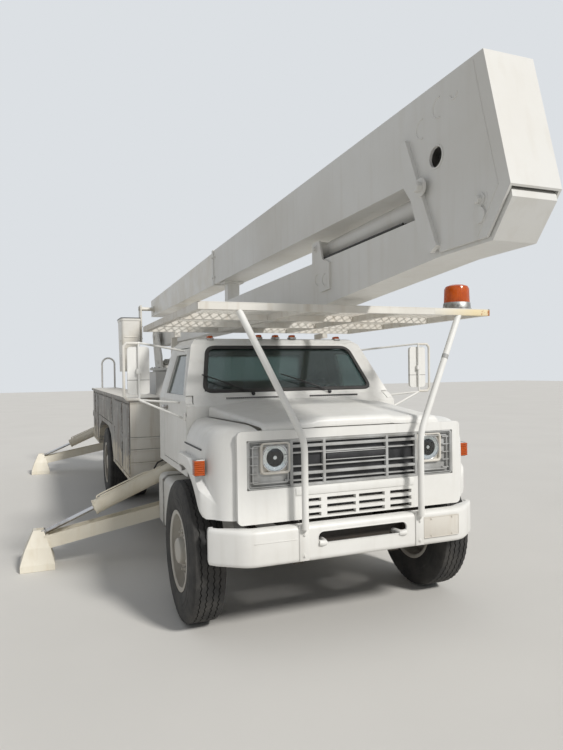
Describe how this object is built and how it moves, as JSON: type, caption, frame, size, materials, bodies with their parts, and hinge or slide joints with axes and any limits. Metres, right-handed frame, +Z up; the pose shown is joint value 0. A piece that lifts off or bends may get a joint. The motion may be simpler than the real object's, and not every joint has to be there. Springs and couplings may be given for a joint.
{
  "type": "cherry picker truck",
  "caption": "Long-nosed service truck with a folding two-part boom over its cab, a pair of work buckets behind, side bins and fold-down stands.",
  "frame": {"origin": "on the ground, under the middle of the whole truck with its stands and booms as parked", "axes": "+Y towards the truck's rear, +X towards its left side, +Z up"},
  "size_m": [4.584, 10.384, 3.339],
  "materials": {
    "white_enamel": "weathered gloss",
    "boom_enamel": "weathered gloss",
    "chassis_black": "satin",
    "peeled_metal": "worn",
    "rack_grey": "rusty",
    "deck_grey": "worn",
    "cast_block": "rough",
    "stand_cream": "worn",
    "grille_black": "matt",
    "glass": "clear",
    "lamp_lens": "clear",
    "amber_lens": "clear",
    "seat_vinyl": "satin",
    "fibreglass": "satin",
    "rod_chrome": "polished",
    "tyre": "matt",
    "wheel_steel": "worn"
  },
  "bodies": {
    "chassis": {"frame": "chassis_black", "engine_block": "cast_block", "front_axle": "chassis_black", "rear_axle": "chassis_black", "drive_shaft": "chassis_black", "side_tanks": "white_enamel", "cab_body": "white_enamel", "cab_glass": "glass", "cab_interior": "seat_vinyl", "fenders": "white_enamel", "front_panel": "white_enamel", "grille": "grille_black", "headlamps": "lamp_lens", "bumper": "white_enamel", "guard_tubes": "white_enamel", "rack": "rack_grey", "rack_deck": "rack_grey", "lamps": "amber_lens", "bins": "peeled_metal", "deck": "deck_grey", "tail_rails": "white_enamel", "pedestal": "boom_enamel", "stand_mounts": "stand_cream"},
    "hood": {"hood": "white_enamel"},
    "door_left": {"door_left": "white_enamel", "door_glass_left": "glass"},
    "knuckle_left": {"knuckle_left": "chassis_black"},
    "wheel_front_left": {"wheel_front_left": "wheel_steel", "tyre_front_left": "tyre"},
    "wheels_rear_left": {"wheels_rear_left": "wheel_steel", "tyres_rear_left": "tyre"},
    "door_right": {"door_right": "white_enamel", "door_glass_right": "glass"},
    "knuckle_right": {"knuckle_right": "chassis_black"},
    "wheel_front_right": {"wheel_front_right": "wheel_steel", "tyre_front_right": "tyre"},
    "wheels_rear_right": {"wheels_rear_right": "wheel_steel", "tyres_rear_right": "tyre"},
    "turret": {"turret": "boom_enamel"},
    "lower_boom": {"lower_boom": "boom_enamel"},
    "upper_boom": {"upper_boom_steel": "boom_enamel", "upper_boom_insulated": "fibreglass"},
    "buckets": {"buckets": "fibreglass"},
    "lift_barrel": {"lift_barrel": "boom_enamel"},
    "lift_rod": {"lift_rod": "rod_chrome"},
    "elbow_barrel": {"elbow_barrel": "boom_enamel"},
    "elbow_rod": {"elbow_rod": "rod_chrome"},
    "stand_leg_front_left": {"stand_leg_front_left": "stand_cream"},
    "stand_jack_front_left": {"stand_jack_front_left": "stand_cream"},
    "stand_jack_rod_front_left": {"stand_jack_rod_front_left": "rod_chrome"},
    "stand_leg_front_right": {"stand_leg_front_right": "stand_cream"},
    "stand_jack_front_right": {"stand_jack_front_right": "stand_cream"},
    "stand_jack_rod_front_right": {"stand_jack_rod_front_right": "rod_chrome"},
    "stand_leg_rear_left": {"stand_leg_rear_left": "stand_cream"},
    "stand_jack_rear_left": {"stand_jack_rear_left": "stand_cream"},
    "stand_jack_rod_rear_left": {"stand_jack_rod_rear_left": "rod_chrome"},
    "stand_leg_rear_right": {"stand_leg_rear_right": "stand_cream"},
    "stand_jack_rear_right": {"stand_jack_rear_right": "stand_cream"},
    "stand_jack_rod_rear_right": {"stand_jack_rod_rear_right": "rod_chrome"}
  },
  "joints": [
    {"name": "steer_left", "type": "hinge", "parent": "chassis", "child": "knuckle_left", "pos_m": [0.86, -2.748, 0.525], "axis": [0, 0, 1], "range_deg": [-35, 35]},
    {"name": "spin_front_left", "type": "hinge", "parent": "knuckle_left", "child": "wheel_front_left", "pos_m": [1.015, -2.748, 0.525], "axis": [1, 0, 0], "continuous": true},
    {"name": "spin_rear_left", "type": "hinge", "parent": "chassis", "child": "wheels_rear_left", "pos_m": [0.92, 2.202, 0.525], "axis": [1, 0, 0], "continuous": true},
    {"name": "door_left", "type": "hinge", "parent": "chassis", "child": "door_left", "pos_m": [0.99, -2.384, 1.35], "axis": [0, 0, -1], "range_deg": [0, 65]},
    {"name": "steer_right", "type": "hinge", "parent": "chassis", "child": "knuckle_right", "pos_m": [-0.86, -2.748, 0.525], "axis": [0, 0, 1], "range_deg": [-35, 35]},
    {"name": "spin_front_right", "type": "hinge", "parent": "knuckle_right", "child": "wheel_front_right", "pos_m": [-1.015, -2.748, 0.525], "axis": [1, 0, 0], "continuous": true},
    {"name": "spin_rear_right", "type": "hinge", "parent": "chassis", "child": "wheels_rear_right", "pos_m": [-0.92, 2.202, 0.525], "axis": [1, 0, 0], "continuous": true},
    {"name": "door_right", "type": "hinge", "parent": "chassis", "child": "door_right", "pos_m": [-0.99, -2.384, 1.35], "axis": [0, 0, 1], "range_deg": [0, 65]},
    {"name": "hood", "type": "hinge", "parent": "chassis", "child": "hood", "pos_m": [0, -2.438, 1.558], "axis": [-1, 0, 0], "range_deg": [0, 35]},
    {"name": "turret", "type": "hinge", "parent": "chassis", "child": "turret", "pos_m": [0, 3.152, 1.9], "axis": [0, 0, 1], "continuous": true},
    {"name": "lower_boom", "type": "hinge", "parent": "turret", "child": "lower_boom", "pos_m": [0, 3.502, 2.48], "axis": [-1, 0, 0], "range_deg": [0, 80]},
    {"name": "elbow", "type": "hinge", "parent": "lower_boom", "child": "upper_boom", "pos_m": [0, -4.991, 2.58], "axis": [1, 0, 0], "range_deg": [0, 130]},
    {"name": "bucket_tilt", "type": "hinge", "parent": "upper_boom", "child": "buckets", "pos_m": [0, 4.212, 3.05], "axis": [-1, 0, 0], "range_deg": [0, 130]},
    {"name": "lift_barrel", "type": "hinge", "parent": "turret", "child": "lift_barrel", "pos_m": [0, 3.152, 2.04], "axis": [-1, 0, 0], "range_deg": [-1, 81]},
    {"name": "lift_rod", "type": "slide", "parent": "lift_barrel", "child": "lift_rod", "axis": [0, -0.9821, 0.1886], "range_m": [0, 0.7161]},
    {"name": "elbow_barrel", "type": "hinge", "parent": "lower_boom", "child": "elbow_barrel", "pos_m": [0, -3.142, 2.775], "axis": [1, 0, 0], "range_deg": [-2, 3]},
    {"name": "elbow_rod", "type": "slide", "parent": "elbow_barrel", "child": "elbow_rod", "axis": [0, -0.9998, 0.0177], "range_m": [0, 0.8886]},
    {"name": "stand_leg_front_left", "type": "hinge", "parent": "chassis", "child": "stand_leg_front_left", "pos_m": [0.56, -0.954, 0.52], "axis": [0, -1, 0], "range_deg": [0, 45]},
    {"name": "stand_jack_front_left", "type": "hinge", "parent": "chassis", "child": "stand_jack_front_left", "pos_m": [0.7, -0.954, 0.915], "axis": [0, -1, 0], "range_deg": [-1, 51]},
    {"name": "stand_jack_rod_front_left", "type": "slide", "parent": "stand_jack_front_left", "child": "stand_jack_rod_front_left", "axis": [0.9199, 0, -0.3922], "range_m": [-0.3029, 0]},
    {"name": "stand_leg_front_right", "type": "hinge", "parent": "chassis", "child": "stand_leg_front_right", "pos_m": [-0.56, -0.954, 0.52], "axis": [0, 1, 0], "range_deg": [0, 45]},
    {"name": "stand_jack_front_right", "type": "hinge", "parent": "chassis", "child": "stand_jack_front_right", "pos_m": [-0.7, -0.954, 0.915], "axis": [0, 1, 0], "range_deg": [-1, 51]},
    {"name": "stand_jack_rod_front_right", "type": "slide", "parent": "stand_jack_front_right", "child": "stand_jack_rod_front_right", "axis": [-0.9199, 0, -0.3922], "range_m": [-0.3029, 0]},
    {"name": "stand_leg_rear_left", "type": "hinge", "parent": "chassis", "child": "stand_leg_rear_left", "pos_m": [0.56, 5.037, 0.52], "axis": [0, -1, 0], "range_deg": [0, 45]},
    {"name": "stand_jack_rear_left", "type": "hinge", "parent": "chassis", "child": "stand_jack_rear_left", "pos_m": [0.7, 5.037, 0.915], "axis": [0, -1, 0], "range_deg": [-1, 51]},
    {"name": "stand_jack_rod_rear_left", "type": "slide", "parent": "stand_jack_rear_left", "child": "stand_jack_rod_rear_left", "axis": [0.9199, 0, -0.3922], "range_m": [-0.3029, 0]},
    {"name": "stand_leg_rear_right", "type": "hinge", "parent": "chassis", "child": "stand_leg_rear_right", "pos_m": [-0.56, 5.037, 0.52], "axis": [0, 1, 0], "range_deg": [0, 45]},
    {"name": "stand_jack_rear_right", "type": "hinge", "parent": "chassis", "child": "stand_jack_rear_right", "pos_m": [-0.7, 5.037, 0.915], "axis": [0, 1, 0], "range_deg": [-1, 51]},
    {"name": "stand_jack_rod_rear_right", "type": "slide", "parent": "stand_jack_rear_right", "child": "stand_jack_rod_rear_right", "axis": [-0.9199, 0, -0.3922], "range_m": [-0.3029, 0]}
  ],
  "couplings": [
    {"joint": "steer_right", "follows": "steer_left", "ratio": 1},
    {"joint": "lift_barrel", "follows": "lower_boom", "ratio": 0.94408},
    {"joint": "lift_rod", "follows": "lower_boom", "m_per_rad": 0.50997},
    {"joint": "elbow_barrel", "follows": "elbow", "ratio": 0.00826},
    {"joint": "elbow_rod", "follows": "elbow", "m_per_rad": 0.38986},
    {"joint": "stand_jack_front_left", "follows": "stand_leg_front_left", "ratio": 1.1098},
    {"joint": "stand_jack_rod_front_left", "follows": "stand_leg_front_left", "m_per_rad": -0.38061},
    {"joint": "stand_jack_front_right", "follows": "stand_leg_front_right", "ratio": 1.1098},
    {"joint": "stand_jack_rod_front_right", "follows": "stand_leg_front_right", "m_per_rad": -0.38061},
    {"joint": "stand_jack_rear_left", "follows": "stand_leg_rear_left", "ratio": 1.1098},
    {"joint": "stand_jack_rod_rear_left", "follows": "stand_leg_rear_left", "m_per_rad": -0.38061},
    {"joint": "stand_jack_rear_right", "follows": "stand_leg_rear_right", "ratio": 1.1098},
    {"joint": "stand_jack_rod_rear_right", "follows": "stand_leg_rear_right", "m_per_rad": -0.38061}
  ]
}
